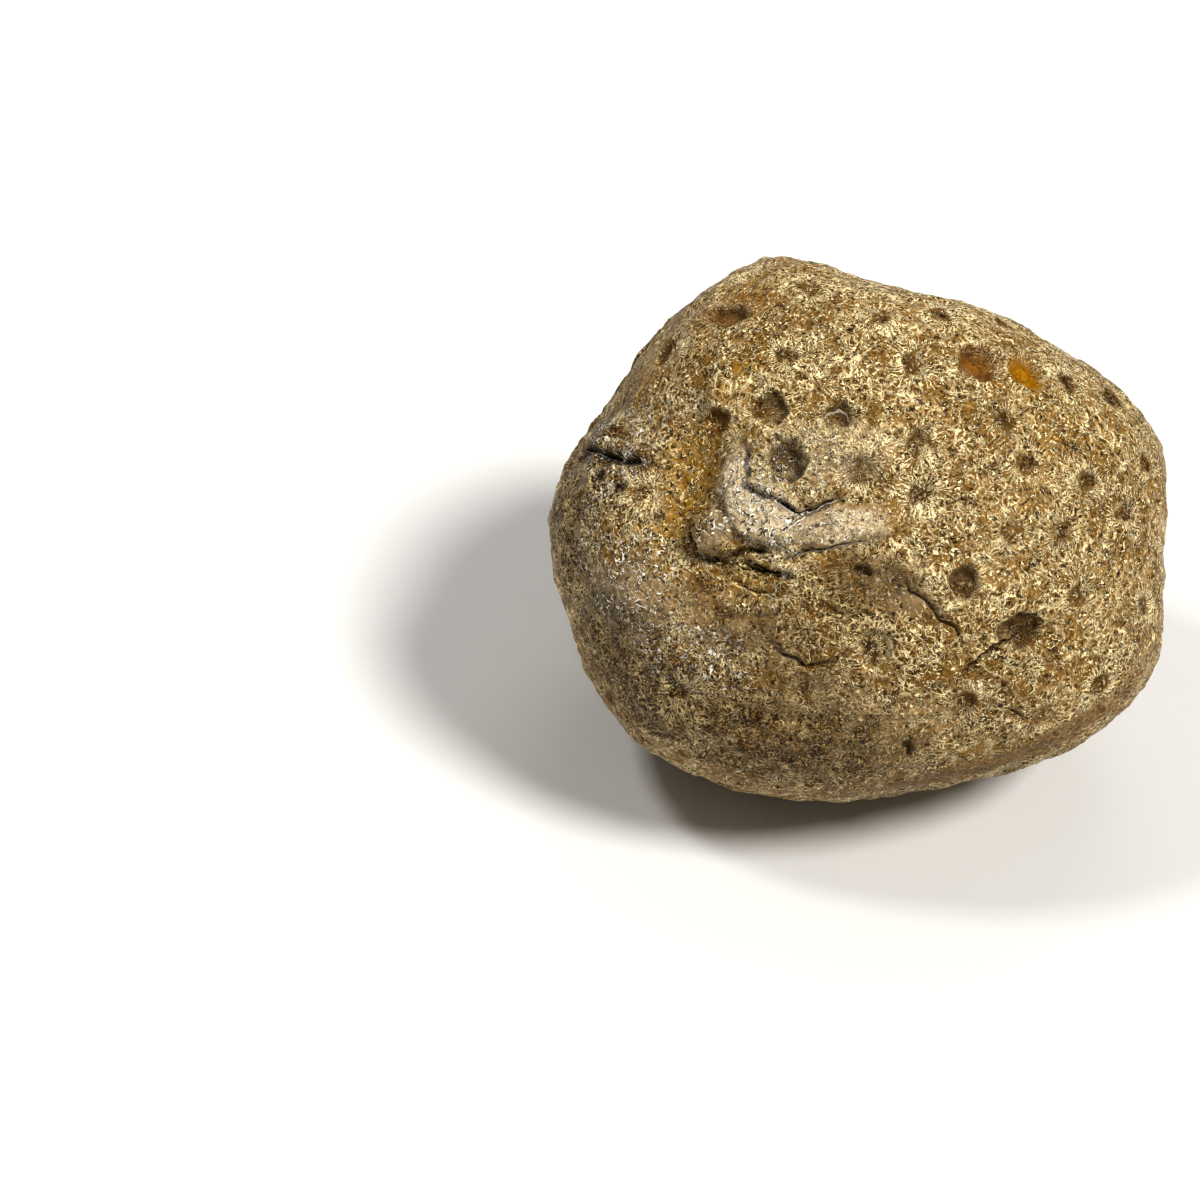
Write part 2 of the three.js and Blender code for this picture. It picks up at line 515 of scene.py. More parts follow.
def wayAlong(ground, line):
    # distance from a crack, the side of it that each point is on, and how it fades at its ends
    best = np.full(len(ground["points"]), farAway)
    side = np.zeros(len(best))
    taper = np.zeros(len(best))
    middle = (line[0][0] + line[-1][0]) / 2
    span = max(np.linalg.norm(spot - middle) for spot, _ in line) + 9
    near = ((ground["points"] - middle) ** 2).sum(axis=1) < span**2
    points = ground["points"][near] + ground["wobble"][near]
    nearBest, nearSide = best[near], side[near]
    for (start, normal), (end, _) in zip(line, line[1:]):
        way = end - start
        away = points - start
        t = np.clip(away @ way / (way @ way), 0, 1)
        off = away - t[:, None] * way
        off -= (off @ normal)[:, None] * normal
        reach = np.linalg.norm(off, axis=1)
        closer = reach < nearBest
        nearBest = np.where(closer, reach, nearBest)
        nearSide = np.where(closer, off @ np.cross(normal, way / np.linalg.norm(way)), nearSide)
    ends = [np.linalg.norm(points - spot, axis=1) for spot in (line[0][0], line[-1][0])]
    fade = min(2.5, 0.2 * np.linalg.norm(line[-1][0] - line[0][0]))
    best[near], side[near] = nearBest, nearSide
    taper[near] = smoothStep(0, fade, np.minimum(*ends) + 0.3)
    return best, side, taper


def patch(ground, kind):
    # how strongly a kind of patch covers each point
    cover = np.zeros(len(ground["points"]))
    for oval in placedPatches[kind]:
        reach = ovalReach(ground, oval, 0.16)
        cover = np.maximum(cover, oval[4] * (1 - smoothStep(0.65, 1.25, reach)))
    return cover


def survey(points, normals):
    # what every feature needs to know about each point of the surface
    coral, away, wall = readCups(points)
    ground = {"points": points, "coral": coral, "away": away, "wall": wall}
    ground["ragged"] = lump(points, 1.6, 5.0) + lump(points, 4.0, 9.0)
    ground["wobble"] = np.stack([lump(points, 2.0, k) for k in (1.1, 2.3, 3.7)], axis=1) * 0.6
    ground["facing"] = smoothStep(0.45, 0.8, np.abs(normals @ axis))
    ground["polish"] = patch(ground, "polish")
    return ground


carving = {
    "eyeDepth": 0.25,  # mm, of the shallow eye in the middle of each cup
    "luckDepth": 0.5,  # the most that a cup's luck adds to it
    "deepLuck": 0.86,  # a cup with more luck than this has a deep eye
    "deepDepth": 1.3,
    "eyeSize": 1.7,
    "luckSize": 1.1,
    "lengthwiseWall": 0.28,  # where the corallites are cut along their length
    "lengthwiseTrough": 0.2,
    "crosswiseWall": 0.12,
    "lip": 0.16,  # round a deep cup
    "stepReach": 4.5,  # over which the step beside a crack dies away
    "grit": 0.25,
    "gritSize": 2.6,
    "plucked": 0.3,  # depth of the spots where grit has come away
}


def weather(ground):
    # how far the finished surface stands over the plain cobble, and how much of that is hollow
    points, facing, wall = ground["points"], ground["facing"], ground["wall"]
    height = np.zeros(len(points))
    reach = np.linalg.norm(ground["away"], axis=1)
    coral = ground["coral"]
    luck = cupLuck[coral]
    polish = ground["polish"]
    plain = 1 - polish
    # a shallow eye in the middle of each cup, deeper in a few
    deepEyes = carving["deepDepth"] * (luck > carving["deepLuck"])
    eyeDepth = carving["eyeDepth"] + carving["luckDepth"] * luck + deepEyes
    eyeDepth = np.where(coral < len(corallites), carving["eyeDepth"], eyeDepth)
    eyeSize = carving["eyeSize"] + carving["luckSize"] * luck
    eye = 1 - smoothStep(0.55, 1.25, reach / eyeSize * (1 + 0.2 * lump(points, 1.5, 2.2)))
    height -= eyeDepth * eye * facing * plain
    # cut lengthwise the walls stand up between smooth troughs
    standing = carving["lengthwiseWall"] * np.exp(-(wall**2))
    trough = carving["lengthwiseTrough"] * smoothStep(1, 4, wall)
    height += (1 - facing) * plain * (standing - trough)
    height += facing * plain * carving["crosswiseWall"] * np.exp(-((wall / 0.6) ** 2))
    # swells and worn patches; where two stand proud the higher one wins
    proud = np.zeros(len(points))
    for oval in placedSwells:
        reach = ovalReach(ground, oval, 0.10)
        swell = oval[4] * (1 - smoothStep(0.2 + oval[5], 1.25 - 0.25 * oval[5], reach))
        proud = np.maximum(proud, swell)
        height += np.minimum(swell, 0)
    height += proud
    # the deep cups
    hollow = 0.35 * eye * facing * plain
    for oval in placedCups:
        x, y, reach = ovalPlace(ground, oval, 0.2)
        bowl = 1 - smoothStep(0.76, 1.16, reach)
        heap = np.exp(-((x + 0.38) ** 2 + (y + 0.34) ** 2) / 0.3) * (0.6 + 0.35 * ground["ragged"])
        lip = np.exp(-(((reach - 1.25) / 0.22) ** 2))
        depth = oval[4]
        height += carving["lip"] * min(1, depth) * lip - depth * bowl * (1 - np.clip(heap, 0, 0.8))
        hollow = np.maximum(hollow, bowl * min(1, depth / 2) * (1 - np.clip(1.1 * heap, 0, 1)))
    # cracks and the steps beside them
    seam = np.full(len(points), 9.0)
    glow, cut, rise = np.zeros(len(points)), np.zeros(len(points)), np.zeros(len(points))
    for line, halfWidth, depth, step, glint in placedCracks:
        reach, side, taper = wayAlong(ground, line)
        groove = np.exp(-((reach / halfWidth) ** 2)) * taper
        height -= depth * groove
        raised = smoothStep(0, 1.1, side * np.sign(step)) * taper
        raised *= np.exp(-((reach / carving["stepReach"]) ** 2))
        rise = np.maximum(rise, abs(step) * raised)
        hollow = np.maximum(hollow, groove * min(1.5, depth))
        # the nearest crack, how strong its painted edge highlight is and how dark its painted shade line is
        closer = reach < np.abs(seam)
        seam = np.where(closer, reach * np.sign(side), seam)
        glow = np.where(closer, glint * taper, glow)
        cut = np.where(closer, min(1, max(depth, 0) / 1.7) ** 2 * taper, cut)
    ground["seam"] = np.column_stack([np.clip(seam, -4, 4), glow, cut])
    height += rise
    # grit that the sea has plucked out, and pinholes
    height += carving["grit"] * roughNoise(points, carving["gritSize"]) * (1 - 0.3 * polish)
    plucked = smoothStep(0.30, 0.55, lump(points, carving["gritSize"], 6.6)) * (1 - 0.8 * polish)
    height -= carving["plucked"] * plucked
    hollow = np.maximum(hollow, carving["plucked"] * plucked)
    return height, hollow


stoneShape = {
    "startFaces": 6,  # icosphere subdivisions
    "smoothing": 6,  # rounds that take out the flats of the CAD solid
    "fineness": 2,  # subdivision levels after that
    "swellSize": 0.014,
    "swellHeight": 0.0012,
    "lumpSize": 0.0048,
    "lumpHeight": 0.0006,
    "mostTriangles": 196000,
    "chartHalf": 0.47,  # of its cell, so that the charts for baking stay apart
}


def selectNothing():
    for thing in bpy.context.view_layer.objects:
        thing.select_set(False)


def applyModifier(piece, kind, **settings):
    modifier = piece.modifiers.new(kind.title(), kind)
    for key, value in settings.items():
        setattr(modifier, key, value)
    bpy.context.view_layer.objects.active = piece
    bpy.ops.object.modifier_apply(modifier=modifier.name)


def cloudTexture(name, size):
    texture = bpy.data.textures.new(name, "CLOUDS")
    texture.noise_scale = size
    texture.noise_depth = 2
    return texture


def meshArrays(piece):
    # vertex places in millimetres and their normals
    mesh = piece.data
    places = np.empty(len(mesh.vertices) * 3, np.float32)
    mesh.vertices.foreach_get("co", places)
    normals = np.empty(len(mesh.vertices) * 3, np.float32)
    mesh.vertex_normals.foreach_get("vector", normals)
    return places.reshape(-1, 3) / mm, normals.reshape(-1, 3)


def setPlaces(piece, places):
    piece.data.vertices.foreach_set("co", (places * mm).astype(np.float32).ravel())
    piece.data.update()


def makeStone():
    selectNothing()
    cadNode = frame["nodes"]["coral_head"]
    size = max(cadBox[1] - cadBox[0])
    bpy.ops.mesh.primitive_ico_sphere_add(
        subdivisions=stoneShape["startFaces"], radius=size * 0.55, location=stoneMiddle
    )
    stone = bpy.context.object
    stone.name = "coralHeadStone"
    bpy.ops.object.transform_apply(location=True, rotation=True, scale=True)
    applyModifier(stone, "SHRINKWRAP", target=cadNode, wrap_method="NEAREST_SURFACEPOINT")
    applyModifier(stone, "SMOOTH", factor=0.5, iterations=stoneShape["smoothing"])
    applyModifier(stone, "SUBSURF", levels=stoneShape["fineness"], render_levels=stoneShape["fineness"])
    swell = cloudTexture("seaSwells", stoneShape["swellSize"])
    applyModifier(stone, "DISPLACE", texture=swell, strength=stoneShape["swellHeight"], mid_level=0.55)
    bumps = cloudTexture("seaLumps", stoneShape["lumpSize"])
    applyModifier(stone, "DISPLACE", texture=bumps, strength=stoneShape["lumpHeight"], mid_level=0.55)
    print("plain cobble shaped:", len(stone.data.vertices), "vertices")

    places, normals = meshArrays(stone)
    height, _ = weather(survey(places, normals))
    places += normals * height[:, None]
    places[:, 2] = np.maximum(places[:, 2], 0)
    setPlaces(stone, places)
    print("cups, cracks and swells cut")

    triangles = sum(len(face.vertices) - 2 for face in stone.data.polygons)
    applyModifier(stone, "DECIMATE", ratio=stoneShape["mostTriangles"] / triangles)
    places, _ = meshArrays(stone)
    places[:, 2] = np.maximum(places[:, 2], 0)
    setPlaces(stone, places)
    stone.data.shade_smooth()
    print("stone thinned to", len(stone.data.polygons), "faces")
    return stone


def unwrapStone(stone):
    # six charts for baking, one for each way out from the middle of the stone, the broad face whole on one
    mesh = stone.data
    frameAxes = np.stack([faceAcross, faceUp, faceOut])
    middles = np.empty(len(mesh.polygons) * 3, np.float32)
    mesh.polygons.foreach_get("center", middles)
    corners = np.empty(len(mesh.loops), np.int64)
    mesh.loops.foreach_get("vertex_index", corners)
    places, _ = meshArrays(stone)
    middle = np.array(stoneMiddle) / mm
    outward = (middles.reshape(-1, 3) / mm - middle) @ frameAxes.T
    main = np.abs(outward).argmax(axis=1)
    side = np.sign(outward[np.arange(len(main)), main])
    sizes = [len(face.vertices) for face in mesh.polygons]
    main, side = np.repeat(main, sizes), np.repeat(side, sizes)
    rays = (places[corners] - middle) @ frameAxes.T
    each = np.arange(len(rays))
    depth = np.abs(rays[each, main])
    first = np.arctan(rays[each, (main + 1) % 3] * side / depth) / (math.pi / 4)
    second = np.arctan(rays[each, (main + 2) % 3] / depth) / (math.pi / 4)
    half = stoneShape["chartHalf"]
    chart = np.column_stack([(main + 0.5 + half * first) / 3, ((side > 0) + 0.5 + half * second) / 2])
    layer = mesh.uv_layers.new(name="OFBake")
    layer.data.foreach_set("uv", chart.astype(np.float32).ravel())
    mesh.calc_loop_triangles()
    print("stone unwrapped, triangles:", len(mesh.loop_triangles), "chart range", chart.min(), chart.max())


def writeAttribute(mesh, name, domain, values):
    made = mesh.attributes.new(name, "FLOAT_VECTOR", domain)
    made.data.foreach_set("vector", values.astype(np.float32).ravel())


def markStone(stone):
    # writes what the stone's material reads: the place in the cup, the walls, the hollows, the stains, and
    # where painted shade and the painted crack lines go
    mesh = stone.data
    places, normals = meshArrays(stone)
    ground = survey(places, normals)
    _, hollow = weather(ground)
    cover = {kind: patch(ground, kind) for kind in patches}

    corners = np.empty(len(mesh.loops), np.int64)
    mesh.loops.foreach_get("vertex_index", corners)
    faceOf = np.repeat(np.arange(len(mesh.polygons)), [len(face.vertices) for face in mesh.polygons])
    middles = np.empty(len(mesh.polygons) * 3, np.float32)
    mesh.polygons.foreach_get("center", middles)
    owner = readCups(middles.reshape(-1, 3) / mm)[0]
    # each corner is placed in the cup of its own face, so a face never mixes two cups
    onBundle = ground["away"][corners] + cupSeeds[ground["coral"][corners]]
    inCup = onBundle - cupSeeds[owner[faceOf]]
    luck = cupLuck[owner[faceOf]]
    writeAttribute(mesh, "cup", "CORNER", np.column_stack([inCup, luck]))
    writeAttribute(mesh, "relief", "POINT", np.column_stack([ground["wall"], hollow, ground["facing"]]))
    # gold and grey stains, and the painted shade of the left edge and lower sides
    writeAttribute(mesh, "stain", "POINT", np.column_stack([cover["gold"], cover["grey"], cover["shade"]]))
    writeAttribute(mesh, "finish", "POINT", np.column_stack([cover["polish"], cover["wet"], cover["rust"]]))
    writeAttribute(mesh, "filling", "POINT", np.column_stack([cover["amber"]] * 3))
    writeAttribute(mesh, "seam", "POINT", ground["seam"])
    print("stone marked for its material")


# materials


def tint(code):
    # an sRGB hex colour as linear RGBA
    parts = [int(code[k : k + 2], 16) / 255 for k in (0, 2, 4)]
    return tuple(c / 12.92 if c <= 0.04045 else ((c + 0.055) / 1.055) ** 2.4 for c in parts) + (1,)


nodeModes = {
    "Math": "operation",
    "VectorMath": "operation",
    "MapRange": "interpolation_type",
    "Mix": "data_type",
    "TexVoronoi": "feature",
    "Attribute": "attribute_name",
}


def addNode(tree, kind, *values, **named):
    # adds a node; a second word in its kind is its mode, and values and other nodes go into its sockets, in
    # order or by name
    kind, _, mode = kind.partition(" ")
    made = tree.nodes.new("ShaderNode" + kind)
    if mode:
        setattr(made, nodeModes[kind], mode)
    openSockets = [socket for socket in made.inputs if socket.enabled]
    for socket, value in [*zip(openSockets, values), *((made.inputs[key], named[key]) for key in named)]:
        if isinstance(value, bpy.types.Node):
            value = next(output for output in value.outputs if output.enabled)
        if isinstance(value, bpy.types.NodeSocket):
            tree.links.new(value, socket)
        else:
            socket.default_value = value
    return made


def blankMaterial(name):
    made = bpy.data.materials.new(name)
    made.use_nodes = True
    made.node_tree.nodes.clear()
    return made, partial(addNode, made.node_tree)


limestone = {
    "brown": "70511d",
    "deepBrown": "2a1904",
    "tan": "936f34",
    "cream": "ffeab6",
    "gold": "966c14",
    "grey": "dac8a6",
    "shade": "1f1202",
    "darkPoreAndShade": "150b01",
    "amber": "9c6a03",
    "rust": "87581a",
    "shadedCream": "c39c52",  # calcite lines dulled by the painted shade of the lower sides
    "glint": "fff6e2",
    "goldGlint": "ffdf92",
    "mudAndHollowShade": "3d2808",
    "ribs": 30,  # round each cup
    "cellLength": 1.5,  # mm, between the floors that cross the ribs
    "lineHeight": 0.3,  # mm that the calcite lines stand up
    "wormHeight": 0.3,
    "wallHeight": 0.15,
    "gritHeight": 0.16,
    "lumpHeight": 0.8,
    "filmHeight": 0.7,
    "poreDepth": 0.25,
    "cutDepth": 0.3,
    "roughness": 0.46,
    "wetSmoothing": 0.36,
    "ior": 1.33,  # of the water on it
    "gloss": 0.22,  # low, so that the water doesn't veil the colour
}


def makeLimestone():
    # Fossil limestone, wave-worn and wet: calcite walls and ribs show cream against the brown mud that
    # filled the cups, under a film of water whose glints in small broken points are painted highlights;
    # painted shade darkens the lower sides, the hollows, the cracks and one side of each crinkled line
    made, add = blankMaterial("wetFossilLimestone")

    # place on the stone in millimetres, so a noise's scale is 1 over the size of its lumps
    coordinates = add("TexCoord")
    place = add("VectorMath SCALE", coordinates.outputs["Object"], Scale=1 / mm)

    # what markStone wrote on the mesh
    marks = {}
    for name in ("cup", "relief", "stain", "finish", "filling", "seam"):
        mark = add("Attribute " + name).outputs["Vector"]
        marks[name] = add("SeparateXYZ", mark).outputs
    cupX, cupY, luck = marks["cup"]
    wall, hollow, facing = marks["relief"]
    gold, grey, shade = marks["stain"]
    polish, wet, rust = marks["finish"]
    amber = marks["filling"][0]
    seam, glow, cut = marks["seam"]

    # the place in the cup, shaken so that no rib runs straight
    shake = add("TexNoise", place, 1 / 0.9, 2.0, 0.6)
    shakeParts = add("SeparateColor", shake.outputs["Color"]).outputs
    sway = add("TexNoise", place, 1 / 3.2, 1.0, 0.5)
    swayParts = add("SeparateColor", sway.outputs["Color"]).outputs
    ribX = add("Math MULTIPLY_ADD", add("Math SUBTRACT", shakeParts[0], 0.5), 1.3, cupX)
    ribX = add("Math MULTIPLY_ADD", add("Math SUBTRACT", swayParts[0], 0.5), 3.0, ribX)
    ribY = add("Math MULTIPLY_ADD", add("Math SUBTRACT", shakeParts[1], 0.5), 1.3, cupY)
    ribY = add("Math MULTIPLY_ADD", add("Math SUBTRACT", swayParts[1], 0.5), 3.0, ribY)
    angle = add("Math ARCTAN2", ribY, ribX)
    square = add("Math ADD", add("Math MULTIPLY", ribX, ribX), add("Math MULTIPLY", ribY, ribY))
    reach = add("Math SQRT", square)
    plain = add("Math SUBTRACT", 1.0, polish)
    cluster = add("TexNoise", place, 1 / 1.9, 2.0, 0.6)
    crowd = add("TexNoise", place, 1 / 6.5, 2.0, 0.5)

    # ribs: lines of even width that run out from the middle of the cup, broken up
    ribs = limestone["ribs"]
    ribTurn = add("Math MULTIPLY_ADD", angle, ribs / (2 * math.pi), add("Math MULTIPLY", luck, 7.0))
    ribGap = add("Math MULTIPLY", reach, 2 * math.pi / ribs)
    ribAway = add("Math MULTIPLY", add("Math PINGPONG", ribTurn, 0.5), ribGap)
    ribLine = add("Math SUBTRACT", 1.0, add("MapRange SMOOTHSTEP", ribAway, 0.09, 0.19))
    ribEnd = add("Math MULTIPLY", add("MapRange SMOOTHSTEP", reach, 3.4, 5.0), 0.75)
    ribStart = add("MapRange SMOOTHSTEP", reach, 1.4, 2.2)
    ribBand = add("Math MULTIPLY", ribStart, add("Math SUBTRACT", 1.0, ribEnd))
    star = add("MapRange SMOOTHSTEP", add("Math FRACT", add("Math MULTIPLY", luck, 9.7)), 0.2, 0.8)
    broken = add("MapRange SMOOTHSTEP", add("Math MULTIPLY_ADD", star, 0.04, cluster), 0.41, 0.50)
    ribLine = add("Math MULTIPLY", ribLine, add("Math MULTIPLY", ribBand, broken))
    ribLine = add("Math MULTIPLY", ribLine, add("Math MULTIPLY_ADD", star, 0.35, 0.6))

    # thin floors that cross the ribs, which make long cells
    along = add("VectorMath DOT_PRODUCT", place, tuple(axis))
    cellRound = add("Math MULTIPLY", ribTurn, 0.8)
    cellOut = add("Math DIVIDE", reach, limestone["cellLength"])
    cellAlong = add("Math MULTIPLY_ADD", luck, 40.0, add("Math DIVIDE", along, limestone["cellLength"]))
    cellPlace = add("CombineXYZ", cellRound, cellOut, cellAlong)
    cellEdge = add("TexVoronoi DISTANCE_TO_EDGE", cellPlace, 1.0, Randomness=0.9)
    cellLine = add("Math SUBTRACT", 1.0, add("MapRange SMOOTHSTEP", cellEdge, 0.03, 0.11))
    cellBand = add("MapRange SMOOTHSTEP", reach, 2.0, 3.0)
    cellBand = add("Math MULTIPLY", cellBand, add("MapRange SMOOTHSTEP", crowd, 0.42, 0.58))
    cellLine = add("Math MULTIPLY", cellLine, cellBand)
    someCells = add("Math MULTIPLY_ADD", add("MapRange SMOOTHSTEP", cluster, 0.40, 0.55), 0.6, 0.3)
    cellLine = add("Math MULTIPLY", cellLine, someCells)
    lines = add("Math MAXIMUM", ribLine, cellLine)
    lines = add("Math MULTIPLY", lines, add("Math MULTIPLY_ADD", plain, 0.95, 0.05))
    gaps = add("MapRange SMOOTHSTEP", ribAway, 0.16, 0.34)
    gaps = add("Math MULTIPLY", gaps, add("MapRange SMOOTHSTEP", cellEdge, 0.10, 0.30))
    gaps = add("Math MULTIPLY", gaps, plain)

    # walls between the cups, thin and uneven
    wallLine = add("Math SUBTRACT", 1.0, add("MapRange SMOOTHSTEP", wall, 0.05, 0.34))
    unevenWall = add("Math MULTIPLY", plain, add("MapRange SMOOTHSTEP", shakeParts[2], 0.45, 0.62))
    wallLine = add("Math MULTIPLY", wallLine, unevenWall)

    # crinkled lines of calcite and painted glints, thin contours of a warped noise, each with painted shade
    # along one side as a dark crevice
    def contour(size, distort, mask):
        level = add("Math SUBTRACT", add("TexNoise", place, 1 / size, 1.0, 0.5, Distortion=distort), 0.5)
        offCrest = add("MapRange SMOOTHSTEP", add("Math ABSOLUTE", level), 0.02, 0.04)
        beside = add("Math ABSOLUTE", add("Math SUBTRACT", level, 0.065))
        offCrevice = add("MapRange SMOOTHSTEP", beside, 0.015, 0.035)
        bright, dark = (add("Math SUBTRACT", 1.0, off) for off in (offCrest, offCrevice))
        return add("Math MULTIPLY", bright, mask), add("Math MULTIPLY", dark, mask)

    wormMask = add("MapRange SMOOTHSTEP", add("TexNoise", place, 1 / 1.6, 1.0, 0.5), 0.48, 0.56)
    wormMask = add("Math MULTIPLY", wormMask, add("Math MULTIPLY_ADD", plain, 0.6, 0.4))
    worms, wormShade = contour(1.7, 1.5, wormMask)
    # painted glints: white squiggles scattered where the stone is wet, more on the grey nodule
    scatter = add("TexNoise", place, 1 / 1.3, 1.0, 0.5)
    scatter = add("Math MULTIPLY_ADD", add("Math MULTIPLY", grey, wet), 0.1, scatter)
    glintMask = add("MapRange SMOOTHSTEP", scatter, 0.48, 0.54)
    glintMask = add("Math MULTIPLY", glintMask, add("MapRange SMOOTHSTEP", wet, 0.25, 0.9))
    glints, glintShade = contour(1.4, 1.0, glintMask)
    paintedCreviceShade = add("Math MAXIMUM", add("Math MULTIPLY", wormShade, 0.7), glintShade)
    grain = add("TexNoise", place, 1 / 0.62, 2.0, 0.6)  # coarser than the real grit, so that it shows
    flecks = add("MapRange SMOOTHSTEP", grain, 0.61, 0.67)
    flecks = add("Math MULTIPLY", flecks, add("Math MULTIPLY_ADD", plain, 0.4, 0.3))
    cream = add("Math MAXIMUM", add("Math MAXIMUM", lines, wallLine), add("Math MAXIMUM", worms, flecks))

    # the ground colour drifts over the stone
    drift = add("TexNoise", place, 1 / 12.0, 3.0, 0.6)
    mottle = add("TexNoise", place, 1 / 2.6, 4.0, 0.65)
    tanShare = add("MapRange SMOOTHSTEP", drift, 0.42, 0.68)
    ground = add("Mix RGBA", tanShare, tint(limestone["brown"]), tint(limestone["tan"]))
    mudShare = add("Math MULTIPLY", add("MapRange SMOOTHSTEP", mottle, 0.44, 0.66), 0.7)
    bronze = add("Mix RGBA", mudShare, tint(limestone["gold"]), tint(limestone["mudAndHollowShade"]))
    ground = add("Mix RGBA", add("Math MULTIPLY", gold, 0.85), ground, bronze)
    ground = add("Mix RGBA", add("Math MULTIPLY", grey, 0.85), ground, tint(limestone["grey"]))
    blotch = add("TexNoise", place, 1 / 6.0, 2.0, 0.6)
    # painted shade: the left edge and lower sides darken towards the shade colour, unevenly
    uneven = add("Math MULTIPLY_ADD", add("MapRange SMOOTHSTEP", blotch, 0.38, 0.60), 0.45, 0.7)
    shade = add("Math MINIMUM", add("Math MULTIPLY", shade, uneven), 1.0)
    darkness = add("MapRange SMOOTHSTEP", mottle, 0.50, 0.68)
    darkness = add("Math MAXIMUM", darkness, add("MapRange SMOOTHSTEP", blotch, 0.50, 0.66))
    # the random mottle darkens more in the gold and in the painted shade
    goldAndShadeDarkening = add("Math MULTIPLY_ADD", add("Math ADD", shade, gold), 0.4, 0.46)
    darkness = add("Math MULTIPLY", darkness, goldAndShadeDarkening)
    ground = add("Mix RGBA", darkness, ground, tint(limestone["deepBrown"]))
    ground = add("Mix RGBA", add("Math MULTIPLY", shade, 0.9), ground, tint(limestone["shade"]))
    eye = add("Math SUBTRACT", 1.0, add("MapRange SMOOTHSTEP", reach, 0.9, 2.4))
    eye = add("Math MULTIPLY", add("Math MULTIPLY", eye, facing), add("Math MULTIPLY_ADD", luck, 0.5, 0.4))
    eye = add("Math MULTIPLY", eye, plain)
    mudFilled = add("Math MAXIMUM", eye, add("Math MULTIPLY", gaps, 0.85))
    ground = add("Mix RGBA", mudFilled, ground, tint(limestone["deepBrown"]))
    speck = add("TexNoise", place, 1 / 0.42, 1.0, 0.5)
    speck = add("Math MULTIPLY", add("MapRange SMOOTHSTEP", speck, 0.52, 0.62), 0.8)
    ground = add("Mix RGBA", speck, ground, tint(limestone["tan"]))

    # calcite lines fade in the eyes, fade and dull in the painted shade of the lower sides, and fade in the
    # painted shade of the hollows
    strength = add("Math SUBTRACT", 1.0, add("Math MULTIPLY", shade, 0.1))
    strength = add("Math MULTIPLY", strength, add("Math SUBTRACT", 1.0, add("Math MULTIPLY", eye, 0.5)))
    hollowShadeFade = add("Math MULTIPLY_ADD", add("MapRange SMOOTHSTEP", hollow, 0.3, 1.0), -0.7, 1.0)
    strength = add("Math MULTIPLY", strength, hollowShadeFade)
    dull = add("Math MULTIPLY", shade, 0.4)
    calcite = add("Mix RGBA", dull, tint(limestone["cream"]), tint(limestone["shadedCream"]))
    colour = add("Mix RGBA", add("Math MULTIPLY", cream, strength), ground, calcite)
    poresAndCreviceShade = add("TexNoise", place, 1 / 1.15, 2.0, 0.55)
    poresAndCreviceShade = add("Math MULTIPLY", add("MapRange SMOOTHSTEP", poresAndCreviceShade, 0.63, 0.68), 0.8)
    # painted shade beside the crinkled lines joins the dark pores
    poresAndCreviceShade = add("Math MAXIMUM", poresAndCreviceShade, add("Math MULTIPLY", paintedCreviceShade, 0.85))
    colour = add("Mix RGBA", poresAndCreviceShade, colour, tint(limestone["darkPoreAndShade"]))
    # painted shade in the hollows: pits, cracks and plucked spots darken towards mud brown, the deepest
    # towards near black
    colour = add("Mix RGBA", add("Math MULTIPLY", hollow, 0.6), colour, tint(limestone["mudAndHollowShade"]))
    deep = add("Math MULTIPLY", add("MapRange SMOOTHSTEP", hollow, 0.6, 1.5), 0.6)
    colour = add("Mix RGBA", deep, colour, tint(limestone["darkPoreAndShade"]))
    rust = add("Math MULTIPLY", rust, add("Math MULTIPLY_ADD", cream, -0.3, 0.9))
    colour = add("Mix RGBA", rust, colour, tint(limestone["rust"]))
    colour = add("Mix RGBA", amber, colour, tint(limestone["amber"]))
    # painted shade as a dark line down each crack
    seamAway = add("Math MULTIPLY_ADD", add("Math SUBTRACT", shakeParts[2], 0.5), 0.5, seam)
    offCut = add("MapRange SMOOTHSTEP", add("Math ABSOLUTE", seamAway), 0.16, 0.42)
    cutLine = add("Math SUBTRACT", 1.0, offCut)
    cutShade = add("Math MULTIPLY", cutLine, add("Math MULTIPLY", cut, 0.85))
    colour = add("Mix RGBA", cutShade, colour, tint(limestone["darkPoreAndShade"]))
    # a painted highlight just beside it, where the crack's wet edge glints
    seamAway = add("Math ABSOLUTE", add("Math ADD", seamAway, 0.22))
    seamLine = add("Math SUBTRACT", 1.0, add("MapRange SMOOTHSTEP", seamAway, 0.08, 0.20))
    seamLine = add("Math MULTIPLY", seamLine, glow)
    seamLine = add("Math MULTIPLY", seamLine, add("MapRange SMOOTHSTEP", cluster, 0.34, 0.44))
    # painted highlights for the glints and the crack edges, white, or golden white on the gold
    warm = add("Math MULTIPLY", gold, 0.9)
    shine = add("Mix RGBA", warm, tint(limestone["glint"]), tint(limestone["goldGlint"]))
    colour = add("Mix RGBA", add("Math MAXIMUM", seamLine, glints), colour, shine)

    # fine relief in millimetres; where the stone is wet the water rounds it off
    grit = add("Math MULTIPLY", grain, add("Math MULTIPLY_ADD", wet, -0.8, 1.0))
    film = add("TexNoise", place, 1 / 1.5, 0.0, 0.5, Distortion=1.0)
    lumps = add("TexNoise", place, 1 / 2.4, 1.0, 0.5)
    height = add("Math MULTIPLY", lines, limestone["lineHeight"])
    height = add("Math MULTIPLY_ADD", add("Math MAXIMUM", worms, glints), limestone["wormHeight"], height)
    height = add("Math MULTIPLY_ADD", wallLine, limestone["wallHeight"], height)
    height = add("Math MULTIPLY_ADD", grit, limestone["gritHeight"], height)
    height = add("Math MULTIPLY_ADD", lumps, limestone["lumpHeight"], height)
    height = add("Math MULTIPLY_ADD", add("Math MULTIPLY", film, wet), limestone["filmHeight"], height)
    height = add("Math MULTIPLY_ADD", poresAndCreviceShade, -limestone["poreDepth"], height)
    height = add("Math MULTIPLY_ADD", add("Math MULTIPLY", cutLine, cut), -limestone["cutDepth"], height)
    bump = add("Bump", Height=height, Distance=mm)

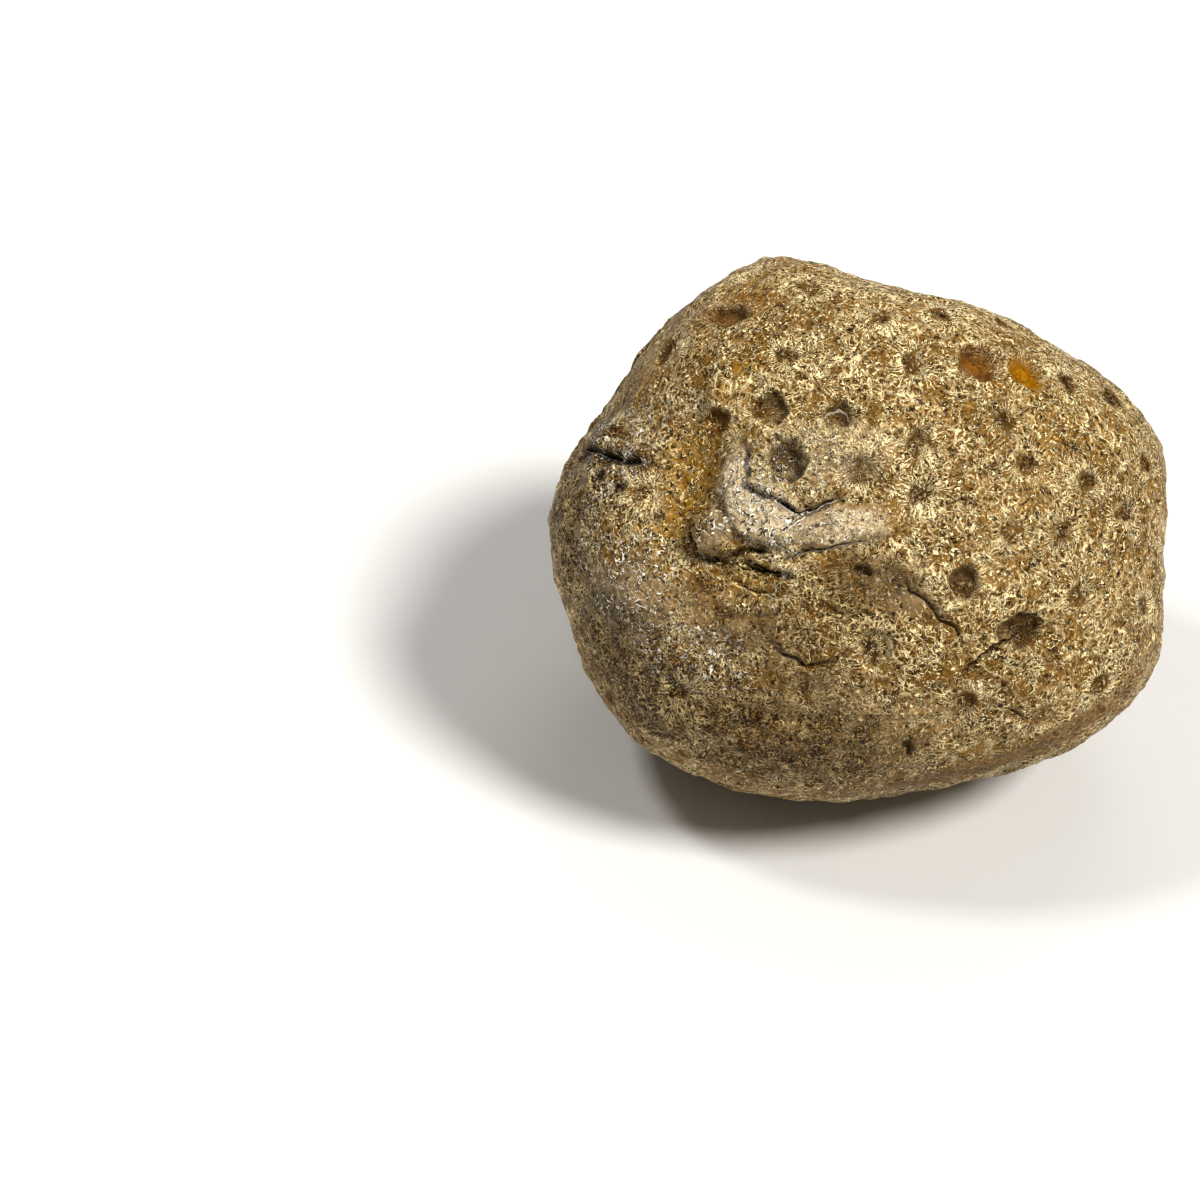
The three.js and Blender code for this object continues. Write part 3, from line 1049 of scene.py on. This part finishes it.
    rough = add("Math MULTIPLY_ADD", wet, -limestone["wetSmoothing"], limestone["roughness"])
    rough = add("Math MULTIPLY_ADD", add("Math SUBTRACT", crowd, 0.5), 0.2, rough)
    shader = add("BsdfPrincipled", colour, Roughness=rough, IOR=limestone["ior"], Normal=bump)
    shader.inputs["Specular IOR Level"].default_value = limestone["gloss"]
    add("OutputMaterial", shader)
    return made


# studio

studio = {
    "floorSize": 40,
    "paper": "dad8d4",
    "world": 0.2,
    "keyStrength": 3.8,
    "keyWidth": 15,  # degrees
    "keyPlace": (0.52, -0.26, 0.80),
    "topPower": 1.5,
    "topSize": 0.5,
    "topPlace": (0.10, 0.40, 0.90),
    "gamma": 0.86,  # below 1 for the depth that a wet stone has
    "sidePower": 3.6,
    "sideSize": 0.15,
    "sidePlace": (-0.42, -0.05, 0.88),
}


def makePaper():
    # matt studio paper: plain, pale and even
    made, add = blankMaterial("studioPaper")
    shader = add("BsdfPrincipled", tint(studio["paper"]), Roughness=0.75)
    add("OutputMaterial", shader)
    return made


def addLight(name, kind, place, power):
    aim = (stoneMiddle - Vector(place)).to_track_quat("-Z", "Y").to_euler()
    bpy.ops.object.light_add(type=kind, location=place, rotation=aim)
    light = bpy.context.object
    light.name = name
    light.data.energy = power
    return light.data


def makeStudio():
    selectNothing()
    bpy.ops.mesh.primitive_plane_add(size=studio["floorSize"], location=(0, 0, 0))
    floor = bpy.context.object
    floor.name = "studioFloor"
    floor.data.materials.append(makePaper())
    key = addLight("keyLight", "SUN", studio["keyPlace"], studio["keyStrength"])
    key.angle = math.radians(studio["keyWidth"])
    for name in ("top", "side"):
        light = addLight(name + "Light", "AREA", studio[name + "Place"], studio[name + "Power"])
        light.size = studio[name + "Size"]
    world = bpy.data.worlds.new("studioAir")
    world.use_nodes = True
    background = world.node_tree.nodes["Background"]
    background.inputs["Color"].default_value = (1, 1, 1, 1)
    background.inputs["Strength"].default_value = studio["world"]
    bpy.context.scene.world = world
    bpy.context.scene.view_settings.view_transform = "Standard"
    bpy.context.scene.view_settings.look = "None"
    bpy.context.scene.view_settings.gamma = studio["gamma"]
    print("studio set")


coralHeadStone = makeStone()
unwrapStone(coralHeadStone)
markStone(coralHeadStone)
coralHeadStone.data.materials.clear()
coralHeadStone.data.materials.append(makeLimestone())
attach(coralHeadStone, "root")
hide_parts("coral_head")
makeStudio()
